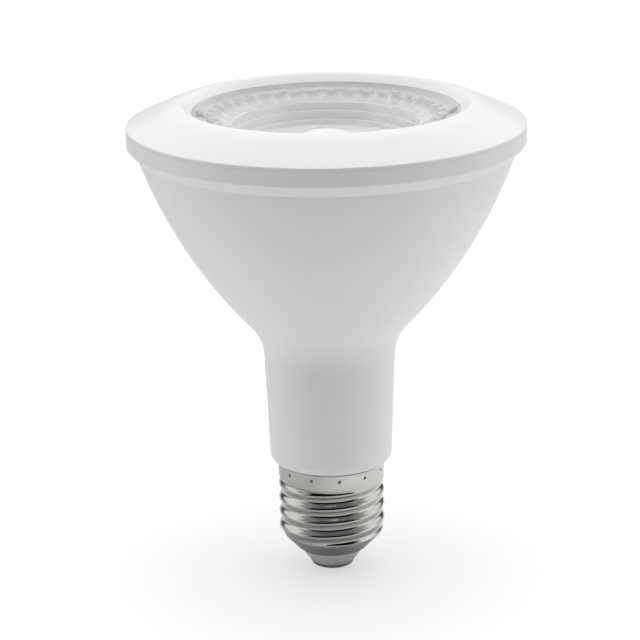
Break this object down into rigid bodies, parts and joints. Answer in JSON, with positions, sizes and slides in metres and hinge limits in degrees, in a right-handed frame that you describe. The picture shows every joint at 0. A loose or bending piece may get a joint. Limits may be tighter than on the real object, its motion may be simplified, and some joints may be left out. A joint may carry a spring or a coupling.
{
  "type": "reflector spotlight bulb",
  "caption": "Reflector-shaped LED spotlight bulb: white funnel housing with a flanged trim ring, stepped clear lens and a threaded metal screw cap.",
  "frame": {"origin": "tip of the centre contact, on the lamp's axis", "axes": "+Z along the lamp's axis, from the contact up to the lens; the lamp is round, and -Y is the side that the picture shows"},
  "size_m": [0.095, 0.095, 0.1175],
  "materials": {
    "housing_white": "moulded, fine satin",
    "bezel_white": "moulded, smooth satin",
    "clear_lens": "clear polycarbonate, polished",
    "nickel_plate": "nickel plated sheet, bright",
    "contact_nickel": "nickel plated, slightly dull",
    "insulator_grey": "moulded grey thermoset",
    "drawn_aluminium": "drawn, satin",
    "pad_grey": "soft silicone sheet",
    "board_aluminium": "white solder mask on aluminium",
    "dam_silicone": "white silicone",
    "phosphor_yellow": "cured phosphor gel",
    "screw_steel": "zinc plated",
    "board_green": "glass epoxy board",
    "can_black": "sleeved can",
    "film_red": "dipped epoxy",
    "ferrite": "sintered ferrite",
    "bobbin_black": "moulded",
    "tape_yellow": "polyester tape",
    "copper_wire": "enamelled wire",
    "varistor_blue": "coated disc",
    "resistor_blue": "lacquered",
    "package_black": "moulded epoxy",
    "lead_red": "insulated wire",
    "lead_black": "insulated wire",
    "lead_white": "insulated wire"
  },
  "bodies": {
    "root": {"centre_contact": "contact_nickel", "cap_insulator": "insulator_grey", "screw_shell": "nickel_plate", "housing": "housing_white", "heat_sink": "drawn_aluminium", "thermal_pad": "pad_grey", "led_board": "board_aluminium", "emitter_dam": "dam_silicone", "phosphor_fill": "phosphor_yellow", "board_screws": "screw_steel", "lens": "clear_lens", "bezel_ring": "bezel_white", "driver_board": "board_green", "bulk_capacitor": "can_black", "output_capacitor": "can_black", "film_capacitor": "film_red", "transformer_core": "ferrite", "transformer_bobbin": "bobbin_black", "transformer_winding": "tape_yellow", "choke_core": "ferrite", "choke_winding": "copper_wire", "varistor": "varistor_blue", "fuse_resistor": "resistor_blue", "bridge_rectifier": "package_black", "control_chip": "package_black", "output_diode": "package_black", "chip_resistors": "package_black", "live_lead": "lead_white", "shell_lead": "lead_white", "led_lead_positive": "lead_red", "led_lead_negative": "lead_black"}
  },
  "joints": []
}
